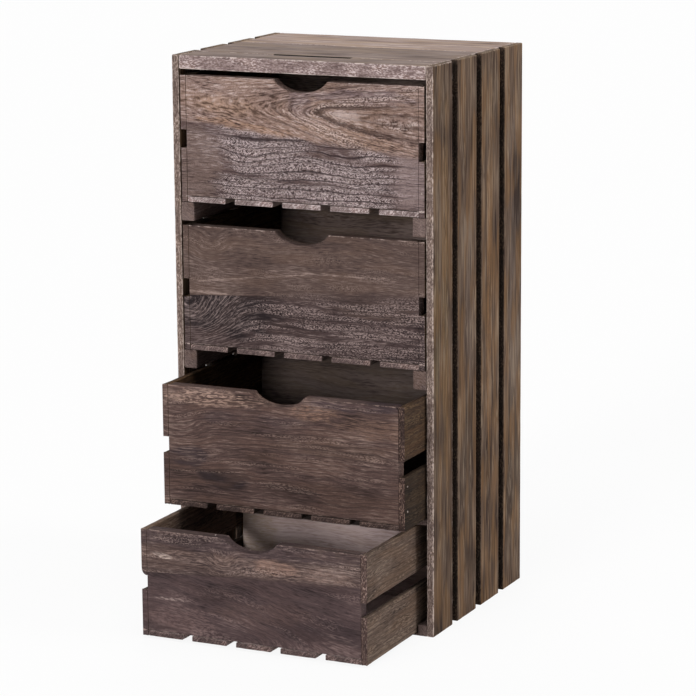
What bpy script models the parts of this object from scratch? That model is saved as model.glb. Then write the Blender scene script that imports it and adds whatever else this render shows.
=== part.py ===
"""Tall chest of four crate drawers, built from rough boards.

Each side of the cabinet is a row of upright slats with gaps between them. Runners cross the slats
on the inside and carry the drawers. The top and the back are boards laid edge to edge between the
sides. Each drawer is a small crate: a thick front with a finger scoop, a thick rear board, two thin
slats on each side and a floor of slats with gaps. The lower two drawers stand open. The lowest one
is narrower than the others and runs between the raised edges of its runners.

Metres, +Z up. The front faces -Y. The origin is on the floor, below the middle of the whole chest
as it stands, with the open drawers counted in.
"""

import math
from dataclasses import dataclass

import bmesh
import bpy
from mathutils import Matrix, Vector

# Cabinet
CABINET_WIDTH = 0.304
CABINET_DEPTH = 0.245
SIDE_SLAT_COUNT = 4
SIDE_SLAT_THICKNESS = 0.0078
SIDE_SLAT_GAP = 0.0132
TOP_THICKNESS = 0.015
TOP_FRONT_BOARD_DEPTH = 0.0405
TOP_REAR_BOARD_COUNT = 2
TOP_SLOT_LENGTH = 0.092
TOP_SLOT_WIDTH = 0.0055
TOP_SLOT_OFFSET = -0.005
TOP_SLOT_END_RADIUS = 0.002
BACK_THICKNESS = 0.008
BACK_BOARD_COUNT = 4
BOARD_SEAM = 0.0005

# Runners: square sticks under the upper two drawers, thin strips under the third. The lowest pair
# have a thin lip under the drawer and a raised edge beside it
RUNNER_WIDTH = 0.0155
RUNNER_HEIGHT = 0.0205
STRIP_HEIGHT = 0.0062
FLOOR_RUNNER_WIDTH = 0.022
FLOOR_RUNNER_HEIGHT = 0.012
FLOOR_LIP_HEIGHT = 0.0027

# Drawers, from the top one down: height, room over the drawer, gap between its side slats, and pull
# from closed. The lowest one's inset is the width of the raised edge beside it
FIRST_HEIGHT = 0.1365
FIRST_HEADROOM = 0.0063
SECOND_HEIGHT = 0.137
SECOND_HEADROOM = 0.0045
UPPER_SLAT_GAP = 0.0195
THIRD_HEIGHT = 0.133
THIRD_HEADROOM = 0.0071
THIRD_SLAT_GAP = 0.0175
THIRD_PULL = 0.053
FOURTH_HEIGHT = 0.118
FOURTH_HEADROOM = 0.0015
FOURTH_SLAT_GAP = 0.0155
FOURTH_PULL = 0.125
FOURTH_INSET = 0.0104
SIDE_PLAY = 0.0018
REAR_PLAY = 0.0025

# Boards of a drawer
FRONT_THICKNESS = 0.015
REAR_THICKNESS = 0.014
DRAWER_SLAT_THICKNESS = 0.0065
FLOOR_SLAT_COUNT = 5
FLOOR_SLAT_THICKNESS = 0.006
FLOOR_SLAT_GAP = 0.011
SCOOP_WIDTH = 0.0625
SCOOP_DEPTH = 0.013
SCOOP_CENTRE_RISE = 0.006
SCOOP_SHOULDER_RADIUS = 0.0018

# Fits and edges
JOINT_GAP = 0.0003
SLIDE_GAP = 0.0003
BOARD_EDGE_RADIUS = 0.0014
SLAT_EDGE_RADIUS = 0.0009
LIP_EDGE_RADIUS = 0.0006
WELD_DISTANCE = 0.00001
EDGE_SEGMENTS = 2
ARC_STEPS = 24
CORNER_STEPS = 6
HALVINGS = 40
FLAT_ANGLE = math.radians(1)
EDGE_ANGLE = math.radians(50)
QUARTER_TURN = math.radians(90)

# Finishes of the wood: base colour and roughness
TOP_FINISH = ((0.27, 0.22, 0.18, 1.0), 0.85)
SIDE_FINISH = ((0.13, 0.10, 0.07, 1.0), 0.85)
FRONT_FINISH = ((0.12, 0.09, 0.085, 1.0), 0.8)
DRAWER_SIDE_FINISH = ((0.10, 0.078, 0.055, 1.0), 0.85)
RUNNER_FINISH = ((0.11, 0.085, 0.075, 1.0), 0.85)
INSIDE_FINISH = ((0.09, 0.07, 0.06, 1.0), 0.9)


@dataclass(frozen=True)
class Drawer:
    """Sizes of one drawer, and the height of its seat on the runners."""

    number: int
    height: float
    headroom: float
    slat_gap: float
    seat: float
    pull: float
    inset: float


DRAWERS = (
    Drawer(1, FIRST_HEIGHT, FIRST_HEADROOM, UPPER_SLAT_GAP, RUNNER_HEIGHT, 0.0, 0.0),
    Drawer(2, SECOND_HEIGHT, SECOND_HEADROOM, UPPER_SLAT_GAP, RUNNER_HEIGHT, 0.0, 0.0),
    Drawer(3, THIRD_HEIGHT, THIRD_HEADROOM, THIRD_SLAT_GAP, STRIP_HEIGHT, THIRD_PULL, 0.0),
    Drawer(4, FOURTH_HEIGHT, FOURTH_HEADROOM, FOURTH_SLAT_GAP, FLOOR_LIP_HEIGHT, FOURTH_PULL, FOURTH_INSET),
)


def storey_height(drawer):
    """Height that a drawer takes in the cabinet, with its seat below and the room above it."""
    return drawer.seat + SLIDE_GAP + drawer.height + drawer.headroom


# Sizes that follow from the ones above
TOP_UNDERSIDE = sum(storey_height(drawer) for drawer in DRAWERS)
CABINET_HEIGHT = TOP_UNDERSIDE + TOP_THICKNESS
FRONT_Y = (max(drawer.pull for drawer in DRAWERS) - CABINET_DEPTH) / 2
BACK_Y = FRONT_Y + CABINET_DEPTH
INNER_HALF_WIDTH = CABINET_WIDTH / 2 - SIDE_SLAT_THICKNESS
DRAWER_LENGTH = CABINET_DEPTH - BACK_THICKNESS - REAR_PLAY
SIDES = (("left", -1), ("right", 1))


def empty_collection(name):
    """Clear the file and add the collection that the pieces go into."""
    for old in list(bpy.data.objects):
        bpy.data.objects.remove(old, do_unlink=True)
    for old in list(bpy.data.collections):
        bpy.data.collections.remove(old)
    collection = bpy.data.collections.new(name)
    bpy.context.scene.collection.children.link(collection)
    return collection


def wood(name, finish):
    """A wood material for one board."""
    colour, roughness = finish
    material = bpy.data.materials.new(name)
    material.use_nodes = True
    material.diffuse_color = colour
    shader = material.node_tree.nodes["Principled BSDF"]
    shader.inputs["Base Color"].default_value = colour
    shader.inputs["Roughness"].default_value = roughness
    shader.inputs["Metallic"].default_value = 0.0
    return material


def box_mesh(name, size):
    """A box about its own middle, with its size in its points."""
    shape = bmesh.new()
    bmesh.ops.create_cube(shape, size=1)
    bmesh.ops.scale(shape, vec=Vector(size), verts=shape.verts)
    mesh = bpy.data.meshes.new(name)
    shape.to_mesh(mesh)
    shape.free()
    return mesh


def arc(centre, radius, start, end, steps):
    """Points along an arc from one angle to another, both ends included."""
    points = []
    for step in range(steps + 1):
        angle = start + (end - start) * step / steps
        points.append((centre[0] + radius * math.cos(angle), centre[1] + radius * math.sin(angle)))
    return points


def clean_faces(shape):
    """Merge faces that lie in one plane and point all faces outwards."""
    bmesh.ops.dissolve_limit(shape, angle_limit=FLAT_ANGLE, verts=shape.verts, edges=shape.edges)
    bmesh.ops.recalc_face_normals(shape, faces=shape.faces)


def outline_mesh(name, points, thickness):
    """A flat outline in X and Y made as thick as given along Z, with one clean face on each side."""
    curve = bpy.data.curves.new(name, "CURVE")
    curve.dimensions = "2D"
    curve.fill_mode = "BOTH"
    curve.extrude = thickness / 2
    spline = curve.splines.new("POLY")
    spline.points.add(len(points) - 1)
    for point, (across, along) in zip(spline.points, points):
        point.co = (across, along, 0, 1)
    spline.use_cyclic_u = True
    drawn = bpy.data.objects.new(name, curve)
    bpy.context.scene.collection.objects.link(drawn)
    depsgraph = bpy.context.evaluated_depsgraph_get()
    mesh = bpy.data.meshes.new_from_object(drawn.evaluated_get(depsgraph))
    bpy.data.objects.remove(drawn, do_unlink=True)
    bpy.data.curves.remove(curve)

    shape = bmesh.new()
    shape.from_mesh(mesh)
    bmesh.ops.remove_doubles(shape, verts=shape.verts, dist=WELD_DISTANCE)
    clean_faces(shape)
    shape.to_mesh(mesh)
    shape.free()
    return mesh


def shoulder_of_bowl(wide, tall, top, centre_height):
    """Place the round shoulder between a scoop's left side and the top edge.

    The bowl is the lower part of an ellipse. A circle of the shoulder's radius that touches the
    ellipse from outside is moved down its side by halving, until it touches the top edge as well.
    Gives the turn about the ellipse's centre where they touch, and the circle's centre.
    """
    wanted = top - SCOOP_SHOULDER_RADIUS
    upper = 2 * QUARTER_TURN + math.asin(SCOOP_CENTRE_RISE / tall)
    lower = 3 * QUARTER_TURN
    for _ in range(HALVINGS):
        turn = (upper + lower) / 2
        normal = Vector((math.cos(turn) / wide, math.sin(turn) / tall)).normalized()
        touch = Vector((wide * math.cos(turn), centre_height + tall * math.sin(turn)))
        centre = touch + normal * SCOOP_SHOULDER_RADIUS
        if centre.y > wanted:
            upper = turn
        else:
            lower = turn
    return turn, centre, math.atan2(-normal.y, -normal.x)


def scoop_outline(top):
    """The finger scoop in a front's top edge, from left to right.

    A small round shoulder leads down a steep side into the lower part of an ellipse, and out
    again. The ellipse follows from the scoop's width and depth and from how far above the top edge
    its centre lies.
    """
    tall = SCOOP_DEPTH + SCOOP_CENTRE_RISE
    wide = SCOOP_WIDTH / 2 / math.sqrt(1 - (SCOOP_CENTRE_RISE / tall) ** 2)
    centre_height = top + SCOOP_CENTRE_RISE
    turn, shoulder, facing = shoulder_of_bowl(wide, tall, top, centre_height)
    left = arc(shoulder, SCOOP_SHOULDER_RADIUS, QUARTER_TURN, facing, CORNER_STEPS)
    bowl = []
    for step in range(1, ARC_STEPS):
        angle = turn + (6 * QUARTER_TURN - 2 * turn) * step / ARC_STEPS
        bowl.append((wide * math.cos(angle), centre_height + tall * math.sin(angle)))
    right = [(-across, height) for across, height in reversed(left)]
    return left + bowl + right


def front_mesh(name, width, height):
    """A drawer's front board, standing upright, with the finger scoop in its top edge."""
    side = width / 2
    top = height / 2
    points = [(-side, -top), (-side, top), *scoop_outline(top), (side, top), (side, -top)]
    mesh = outline_mesh(name, points, FRONT_THICKNESS)
    mesh.transform(Matrix.Rotation(QUARTER_TURN, 4, "X"))
    return mesh


def rear_and_floor_mesh(name, half_width, height):
    """A drawer's rear board with the floor slats fixed below it, as one body.

    Seen from behind, the rear board stands on the ends of the slats, with gaps between them. The
    part of that outline below the board is drawn out forwards into the slats.
    """
    slat_width = (2 * half_width - (FLOOR_SLAT_COUNT - 1) * FLOOR_SLAT_GAP) / FLOOR_SLAT_COUNT
    top_of_slat = FLOOR_SLAT_THICKNESS
    points = []
    for index in range(FLOOR_SLAT_COUNT):
        left = index * (slat_width + FLOOR_SLAT_GAP) - half_width
        right = left + slat_width
        points += [(left, top_of_slat), (left, 0), (right, 0), (right, top_of_slat)]
    points = [*points[1:-1], (half_width, height), (-half_width, height)]
    mesh = outline_mesh(name, points, REAR_THICKNESS)
    mesh.transform(Matrix.Rotation(QUARTER_TURN, 4, "X"))

    shape = bmesh.new()
    shape.from_mesh(mesh)
    everything = [*shape.verts, *shape.edges, *shape.faces]
    level = Vector((0, 0, top_of_slat))
    bmesh.ops.bisect_plane(shape, geom=everything, dist=WELD_DISTANCE, plane_co=level, plane_no=level)
    feet = [
        face
        for face in shape.faces
        if round(face.normal.y) == -1 and face.calc_center_median().z < top_of_slat
    ]
    ends = bmesh.ops.extrude_discrete_faces(shape, faces=feet)["faces"]
    forwards = Vector((0, REAR_THICKNESS - DRAWER_LENGTH, 0))
    bmesh.ops.translate(shape, verts=[vert for face in ends for vert in face.verts], vec=forwards)
    clean_faces(shape)
    shape.to_mesh(mesh)
    shape.free()
    return mesh


def slotted_board_mesh(name, width, depth):
    """The top's front board, with a long narrow slot in its rear edge."""
    side = width / 2
    rear = depth / 2
    corner = TOP_SLOT_END_RADIUS
    slot_left = TOP_SLOT_OFFSET - TOP_SLOT_LENGTH / 2
    slot_right = TOP_SLOT_OFFSET + TOP_SLOT_LENGTH / 2
    corner_line = rear - TOP_SLOT_WIDTH + corner
    half_turn = 2 * QUARTER_TURN
    points = [(-side, -rear), (-side, rear), (slot_left, rear)]
    points += arc((slot_left + corner, corner_line), corner, half_turn, 1.5 * half_turn, CORNER_STEPS)
    points += arc((slot_right - corner, corner_line), corner, 1.5 * half_turn, 2 * half_turn, CORNER_STEPS)
    points += [(slot_right, rear), (side, rear), (side, -rear)]
    return outline_mesh(name, points, TOP_THICKNESS)


def ease_edges(piece, radius):
    """Round a board's edges a little."""
    bevel = piece.modifiers.new("eased_edges", "BEVEL")
    bevel.width = radius
    bevel.segments = EDGE_SEGMENTS
    bevel.limit_method = "ANGLE"
    bevel.angle_limit = EDGE_ANGLE


def add_piece(chest, mesh, centre, finish, radius, parent=None):
    """Set a mesh down as a finished piece, with its own wood and eased edges."""
    piece = bpy.data.objects.new(mesh.name, mesh)
    piece.location = centre
    piece.parent = parent
    mesh.materials.append(wood(mesh.name + "_wood", finish))
    chest.objects.link(piece)
    ease_edges(piece, radius)
    return piece


def add_board(chest, name, low, high, finish, radius=BOARD_EDGE_RADIUS, parent=None):
    """A board that fills the space between two opposite corners."""
    low = Vector(low)
    high = Vector(high)
    return add_piece(chest, box_mesh(name, high - low), (low + high) / 2, finish, radius, parent)


def build_sides(chest):
    """The upright slats of both sides, counted from the front."""
    slat_width = (CABINET_DEPTH - (SIDE_SLAT_COUNT - 1) * SIDE_SLAT_GAP) / SIDE_SLAT_COUNT
    for side, sign in SIDES:
        across = sorted((sign * INNER_HALF_WIDTH, sign * CABINET_WIDTH / 2))
        for index in range(SIDE_SLAT_COUNT):
            start = FRONT_Y + index * (slat_width + SIDE_SLAT_GAP)
            low = (across[0], start, 0)
            high = (across[1], start + slat_width, CABINET_HEIGHT)
            add_board(chest, f"{side}_side_slat_{index + 1}", low, high, SIDE_FINISH, SLAT_EDGE_RADIUS)


def build_top(chest):
    """The top's boards, edge to edge between the sides: a narrow slotted one, then wide ones."""
    half_width = INNER_HALF_WIDTH - JOINT_GAP
    middle_z = CABINET_HEIGHT - TOP_THICKNESS / 2
    front = slotted_board_mesh("top_front_board", 2 * half_width, TOP_FRONT_BOARD_DEPTH)
    front_centre = (0, FRONT_Y + TOP_FRONT_BOARD_DEPTH / 2, middle_z)
    add_piece(chest, front, front_centre, TOP_FINISH, BOARD_EDGE_RADIUS)

    rear_depth = CABINET_DEPTH - TOP_FRONT_BOARD_DEPTH
    board_depth = rear_depth / TOP_REAR_BOARD_COUNT - BOARD_SEAM
    for index in range(TOP_REAR_BOARD_COUNT):
        end = BACK_Y - (TOP_REAR_BOARD_COUNT - 1 - index) * (board_depth + BOARD_SEAM)
        low = (-half_width, end - board_depth, TOP_UNDERSIDE)
        high = (half_width, end, CABINET_HEIGHT)
        add_board(chest, f"top_rear_board_{index + 1}", low, high, TOP_FINISH)


def build_back(chest):
    """The back's boards, edge to edge below the top, counted from the top down."""
    half_width = INNER_HALF_WIDTH - JOINT_GAP
    pitch = (TOP_UNDERSIDE - JOINT_GAP + BOARD_SEAM) / BACK_BOARD_COUNT
    for index in range(BACK_BOARD_COUNT):
        bottom = (BACK_BOARD_COUNT - 1 - index) * pitch
        low = (-half_width, BACK_Y - BACK_THICKNESS, bottom)
        high = (half_width, BACK_Y, bottom + pitch - BOARD_SEAM)
        add_board(chest, f"back_board_{index + 1}", low, high, INSIDE_FINISH)


def lipped_runner_mesh(name, sign, length):
    """A runner with a raised outer edge and a thin lip towards the middle, seen end-on and drawn out."""
    outer = INNER_HALF_WIDTH - JOINT_GAP
    step = INNER_HALF_WIDTH - FOURTH_INSET
    inner = outer - FLOOR_RUNNER_WIDTH
    points = [
        (sign * outer, 0),
        (sign * outer, FLOOR_RUNNER_HEIGHT),
        (sign * step, FLOOR_RUNNER_HEIGHT),
        (sign * step, FLOOR_LIP_HEIGHT),
        (sign * inner, FLOOR_LIP_HEIGHT),
        (sign * inner, 0),
    ]
    mesh = outline_mesh(name, points, length)
    mesh.transform(Matrix.Rotation(QUARTER_TURN, 4, "X"))
    return mesh


def build_runners(chest, drawer, base):
    """The pair of runners below a drawer, across the inner faces of the side slats."""
    outer = INNER_HALF_WIDTH - JOINT_GAP
    end = BACK_Y - BACK_THICKNESS - JOINT_GAP
    for side, sign in SIDES:
        name = f"{side}_runner_{drawer.number}"
        if drawer.inset:
            mesh = lipped_runner_mesh(name, sign, end - FRONT_Y)
            centre = (0, (FRONT_Y + end) / 2, base)
            add_piece(chest, mesh, centre, RUNNER_FINISH, LIP_EDGE_RADIUS)
        else:
            across = sorted((sign * outer, sign * (outer - RUNNER_WIDTH)))
            low = (across[0], FRONT_Y, base)
            high = (across[1], end, base + drawer.seat)
            add_board(chest, name, low, high, RUNNER_FINISH)


def build_drawer(chest, drawer, floor):
    """One drawer at its pull. Its pieces hang from an empty at the foot of its front face."""
    name = f"drawer_{drawer.number}"
    slide = bpy.data.objects.new(name + "_slide", None)
    slide.location = (0, FRONT_Y - drawer.pull, floor)
    chest.objects.link(slide)

    outer = INNER_HALF_WIDTH - drawer.inset - SIDE_PLAY
    inner = outer - DRAWER_SLAT_THICKNESS
    half_width = inner - JOINT_GAP
    board_bottom = FLOOR_SLAT_THICKNESS + JOINT_GAP

    front = front_mesh(name + "_front", 2 * half_width, drawer.height - board_bottom)
    front_centre = (0, FRONT_THICKNESS / 2, (board_bottom + drawer.height) / 2)
    add_piece(chest, front, front_centre, FRONT_FINISH, BOARD_EDGE_RADIUS, slide)

    slat_height = (drawer.height - drawer.slat_gap) / 2
    for side, sign in SIDES:
        across = sorted((sign * inner, sign * outer))
        for level, bottom in (("lower", 0), ("upper", drawer.height - slat_height)):
            low = (across[0], 0, bottom)
            high = (across[1], DRAWER_LENGTH, bottom + slat_height)
            slat = f"{name}_{side}_{level}_slat"
            add_board(chest, slat, low, high, DRAWER_SIDE_FINISH, SLAT_EDGE_RADIUS, slide)

    rear = rear_and_floor_mesh(name + "_rear_and_floor", half_width, drawer.height)
    rear_centre = (0, DRAWER_LENGTH - REAR_THICKNESS / 2, 0)
    add_piece(chest, rear, rear_centre, INSIDE_FINISH, SLAT_EDGE_RADIUS, slide)


def main():
    """Build the chest from the floor up."""
    chest = empty_collection("crate_drawer_chest")
    build_sides(chest)
    build_top(chest)
    build_back(chest)
    base = 0
    for drawer in reversed(DRAWERS):
        build_runners(chest, drawer, base)
        build_drawer(chest, drawer, base + drawer.seat + SLIDE_GAP)
        base += storey_height(drawer)


main()
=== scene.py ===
"""Looks of a tall chest of four crate drawers: torched and brushed boards in a plain studio.

Each board keeps the shape that the CAD model gives it, with worn edges and slightly uneven faces,
and has a wood of its own. The wood is laid out in millimetres from the board's middle: along the
grain, across it and through the board. A field of growth rings is bent into arches and swirls, and
the fibres, the pores and the colour all follow it.
"""

import logging
import math
from dataclasses import dataclass, field, replace
from enum import Enum
from typing import Any, ClassVar

import bmesh
import bpy
from mathutils import Matrix, Vector, noise


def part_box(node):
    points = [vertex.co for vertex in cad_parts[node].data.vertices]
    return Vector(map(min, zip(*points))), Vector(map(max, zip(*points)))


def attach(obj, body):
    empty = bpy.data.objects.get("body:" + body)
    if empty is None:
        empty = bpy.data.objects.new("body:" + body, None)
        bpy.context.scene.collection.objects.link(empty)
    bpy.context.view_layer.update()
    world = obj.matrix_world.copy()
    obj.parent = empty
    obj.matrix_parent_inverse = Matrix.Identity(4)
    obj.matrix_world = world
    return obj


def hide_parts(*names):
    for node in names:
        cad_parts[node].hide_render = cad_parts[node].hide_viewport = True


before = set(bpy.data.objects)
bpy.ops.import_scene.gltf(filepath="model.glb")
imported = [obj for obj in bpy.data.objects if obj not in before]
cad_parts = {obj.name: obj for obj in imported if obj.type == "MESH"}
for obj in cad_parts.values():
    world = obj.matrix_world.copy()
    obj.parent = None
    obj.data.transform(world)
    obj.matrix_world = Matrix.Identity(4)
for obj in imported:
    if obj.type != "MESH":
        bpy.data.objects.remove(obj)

LOG = logging.getLogger("chest")
MM = 1000.0

Colour = tuple[float, float, float]
Shade = tuple[int, int, int]


class Run(Enum):
    """The axis that a board's grain runs along, as an index into X, Y and Z."""

    SIDEWAYS = 0
    FRONT_TO_BACK = 1
    UPRIGHT = 2


def seen(shade: Shade) -> Colour:
    """Turn a colour as it is seen into the renderer's own measure.

    Args:
        shade: Its red, green and blue parts from 0 to 255.

    Returns:
        The colour with linear parts from 0 to 1.
    """
    return tuple(
        part / 12.92 if part <= 0.04045 else ((part + 0.055) / 1.055) ** 2.4
        for part in (whole / 255 for whole in shade))


class Wire:
    """A socket of a material's node that takes part in sums as a number would."""

    def __init__(self, bench: "Bench", socket: bpy.types.NodeSocket) -> None:
        """Keep the socket and the bench that lays out its nodes."""
        self.bench = bench
        self.socket = socket

    def __add__(self, other: "Number") -> "Wire":
        """Sum."""
        return self.bench.maths("ADD", self, other)

    __radd__ = __add__

    def __sub__(self, other: "Number") -> "Wire":
        """Difference."""
        return self.bench.maths("SUBTRACT", self, other)

    def __rsub__(self, other: "Number") -> "Wire":
        """Difference, with the number in front."""
        return self.bench.maths("SUBTRACT", other, self)

    def __mul__(self, other: "Number") -> "Wire":
        """Product."""
        return self.bench.maths("MULTIPLY", self, other)

    __rmul__ = __mul__

    def __truediv__(self, other: "Number") -> "Wire":
        """Quotient."""
        return self.bench.maths("DIVIDE", self, other)

    def __abs__(self) -> "Wire":
        """Size without the sign."""
        return self.bench.maths("ABSOLUTE", self)


Number = float | Wire


class Bench:
    """Lays out the nodes of one material."""

    def __init__(self, name: str) -> None:
        """Start a material.

        Args:
            name: The material's name.
        """
        self.material = bpy.data.materials.new(name)
        self.material.use_nodes = True
        self.tree = self.material.node_tree
        self.shader = self.tree.nodes["Principled BSDF"]

    def feed(self, socket: bpy.types.NodeSocket, value: Any) -> None:
        """Give a socket a value or a wire.

        Args:
            socket: The socket that takes it.
            value: A wire, a number or a tuple.
        """
        if isinstance(value, Wire):
            self.tree.links.new(value.socket, socket)
        else:
            socket.default_value = value

    def node(
        self, kind: str, settings: dict[str, Any], inputs: dict[Any, Any], output: Any = 0
    ) -> Wire:
        """Add a node.

        Args:
            kind: The node's type.
            settings: What is set on the node before its sockets.
            inputs: Values or wires by the name or number of the socket.
            output: The name or number of the output that is wanted.

        Returns:
            The output.
        """
        node = self.tree.nodes.new(kind)
        for name, value in settings.items():
            setattr(node, name, value)
        for name, value in inputs.items():
            self.feed(node.inputs[name], value)
        return Wire(self, node.outputs[output])

    def maths(self, operation: str, first: Number, second: Number = 0.0) -> Wire:
        """Work out one step of a sum."""
        return self.node("ShaderNodeMath", {"operation": operation}, {0: first, 1: second})

    def least(self, first: Number, second: Number) -> Wire:
        """The smaller of two values."""
        return self.maths("MINIMUM", first, second)

    def most(self, first: Number, second: Number) -> Wire:
        """The larger of two values."""
        return self.maths("MAXIMUM", first, second)

    def step(self, value: Number, low: float, high: float) -> Wire:
        """Rise smoothly from 0 at low to 1 at high, or fall where low is the larger.

        Args:
            value: What is measured.
            low: Where the result is 0.
            high: Where the result is 1.

        Returns:
            The step.
        """
        inputs = {"Value": value, "From Min": min(low, high), "From Max": max(low, high)}
        inputs["To Min"] = 0.0 if low < high else 1.0
        inputs["To Max"] = 1.0 - inputs["To Min"]
        return self.node("ShaderNodeMapRange", {"interpolation_type": "SMOOTHSTEP"}, inputs)

    def point(self, x: Number, y: Number, z: Number) -> Wire:
        """A vector from its three parts."""
        return self.node("ShaderNodeCombineXYZ", {}, {0: x, 1: y, 2: z})

    def noise(self, place: Wire, detail: float = 1.0, roughness: float = 0.5) -> Wire:
        """Soft noise, about 0.5 on average, with features a unit of the place apart."""
        inputs = {"Vector": place, "Scale": 1.0, "Detail": detail, "Roughness": roughness}
        return self.node("ShaderNodeTexNoise", {}, inputs)

    def mix(self, share: Number, first: Any, second: Any) -> Wire:
        """Blend two colours.

        Args:
            share: How much of the second colour there is, from 0 to 1.
            first: A colour or a wire of one.
            second: A colour or a wire of one.

        Returns:
            The blend.
        """
        settings = {"data_type": "RGBA", "clamp_factor": True}
        inputs = {0: share, 6: opaque(first), 7: opaque(second)}
        return self.node("ShaderNodeMix", settings, inputs, 2)


def opaque(colour: Any) -> Any:
    """A colour of three parts with its alpha; a wire stays as it is."""
    return colour if isinstance(colour, Wire) else (*colour, 1.0)


@dataclass(frozen=True)
class Arch:
    """Nested arches about a centre line, pointing one way along the board, in millimetres.

    Attributes:
        tip: Where the innermost arch ends, along the board.
        line: Height of the centre line there, across the board.
        slope: Rise of the centre line along the board.
        spread: How fast the arches open.
        heading: -1 where they point to lower values along the board, 1 to higher ones.
        reach: How far beyond the tip there are still arches, before the grain runs straight again.
        eye: Half the height of the dark ring round a pale middle at the tip, or 0.
    """

    tip: float
    line: float
    slope: float = 0.0
    spread: float = 0.14
    heading: int = -1
    reach: float = 90.0
    eye: float = 0.0


@dataclass(frozen=True)
class Swirl:
    """Rings that flow round a knot, in millimetres.

    Attributes:
        along: Place along the board.
        across: Place across the board.
        length: Reach along the board.
        height: Reach across the board.
        lift: How far the rings are pushed aside.
    """

    along: float
    across: float
    length: float
    height: float
    lift: float


@dataclass(frozen=True)
class Tone:
    """Colours of a board.

    Attributes:
        dark: Latewood and the bottoms of pores.
        body: Most of the board.
        warm: Patches where the torch left the brown wood.
        pale: Pores that hold light dust, and worn edges.
    """

    dark: Colour
    body: Colour
    warm: Colour
    pale: Colour

    @classmethod
    def of(cls, dark: Shade, body: Shade, warm: Shade, pale: Shade) -> "Tone":
        """A tone of colours given as they are seen."""
        return cls(seen(dark), seen(body), seen(warm), seen(pale))

    def scaled(self, factor: float) -> "Tone":
        """The same tone, lighter or darker."""
        parts = (self.dark, self.body, self.warm, self.pale)
        return Tone(*(tuple(part * factor for part in colour) for colour in parts))


@dataclass(frozen=True)
class Patch:
    """A ragged patch of another shade on a board, in millimetres from the board's middle.

    Attributes:
        along: Its middle along the board.
        across: Its middle across the board.
        length: Half its length along the board.
        height: Half its height across the board.
        colour: Its colour as it is seen.
        share: How much it covers what is below, from 0 to 1.
        flecks: How much it breaks up into flecks along the grain, from 0 to 1.
        slope: Rise of the patch along the board.
    """

    along: float
    across: float
    length: float
    height: float
    colour: Shade
    share: float
    flecks: float
    slope: float = 0.0


@dataclass(frozen=True)
class Grain:
    """How the wood of one board, or of one of the strips glued into it, looks.

    Attributes:
        tone: Its colours.
        arch: Its arches, if it has any.
        swirls: Its knots and swirls.
        ring: Width of a growth ring in millimetres.
        bend: How far the rings wander, in millimetres.
        ripple: How far they ripple, in millimetres.
        rings: Darkness of the latewood lines, from 0 to 1.
        late: Where in a ring the latewood starts, from 0 to 0.9.
        veins: Paleness of a thin broken line in each ring, from 0 to 1.
        veined: Range along the board where these lines show.
        streaks: Depth of the long streaks along the grain.
        streak_width: Their width in millimetres.
        fibres: Depth of the fine fibres.
        fibre_size: Length and width of a fibre in millimetres.
        hatch: Amount of pale pores, from 0 to 1.
        hatch_size: Length and width of a pore in millimetres.
        lean: How much the pores lean across the grain.
        chevron: How much they lean one way and then the other, in each ring.
        pits: Amount of dark pores, from 0 to 1.
        pores: Range along the board where the pale pores show, if they don't show all over.
        warmth: Amount of warm patches, from 0 to 1.
        blotch: Depth of the large light and dark clouds.
        patches: Patches of other shades, from the bottom one up.
    """

    tone: Tone
    arch: Arch | None = None
    swirls: tuple[Swirl, ...] = ()
    ring: float = 6.0
    bend: float = 8.0
    ripple: float = 1.6
    rings: float = 0.5
    late: float = 0.5
    veins: float = 0.0
    veined: tuple[float, float] = (0.0, 0.0)
    streaks: float = 0.7
    streak_width: float = 2.2
    fibres: float = 1.0
    fibre_size: tuple[float, float] = (10.0, 1.0)
    hatch: float = 0.5
    hatch_size: tuple[float, float] = (4.4, 1.35)
    lean: float = 0.0
    chevron: float = 0.0
    pits: float = 0.5
    pores: tuple[float, float] | None = None
    warmth: float = 0.4
    blotch: float = 1.0
    patches: tuple[Patch, ...] = ()


@dataclass(frozen=True)
class Finish:
    """The surface of a board.

    Attributes:
        grain: Its wood, or that of its upper strip; on the lowest drawer's rear board, a painted
        shadow band along its top.
        lower: The wood of the strip below, if there is one.
        seam: Height of the line between them at the board's middle, in millimetres.
        seam_slope: Rise of that line along the board.
        seam_soft: How far they run into each other, in millimetres; next to nothing at a glue line.
        seam_blend: How much further they run into each other on the right half, in millimetres.
        front: Colours of the face that looks to the front, where it differs.
        slot: Range along the board in millimetres where its front face is painted dark: painted
        shade inside the slot.
        wear: How pale the worn edges are, from 0 to 1.
        wear_width: How far the wear reaches from an edge, in millimetres.
        worn: Colour of the worn edges as it is seen, where it differs from the wood's pale tone.
        ends: How pale the end grain is, from 0 to 1.
        relief: Depth of the brushed relief in millimetres.
    """

    grain: Grain
    lower: Grain | None = None
    seam: float = 0.0
    seam_slope: float = 0.0
    seam_soft: float = 0.3
    seam_blend: float = 0.0
    front: Tone | None = None
    slot: tuple[float, float] | None = None
    wear: float = 0.45
    wear_width: float = 1.1
    worn: Shade | None = None
    ends: float = 0.3
    relief: float = 0.3


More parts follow.
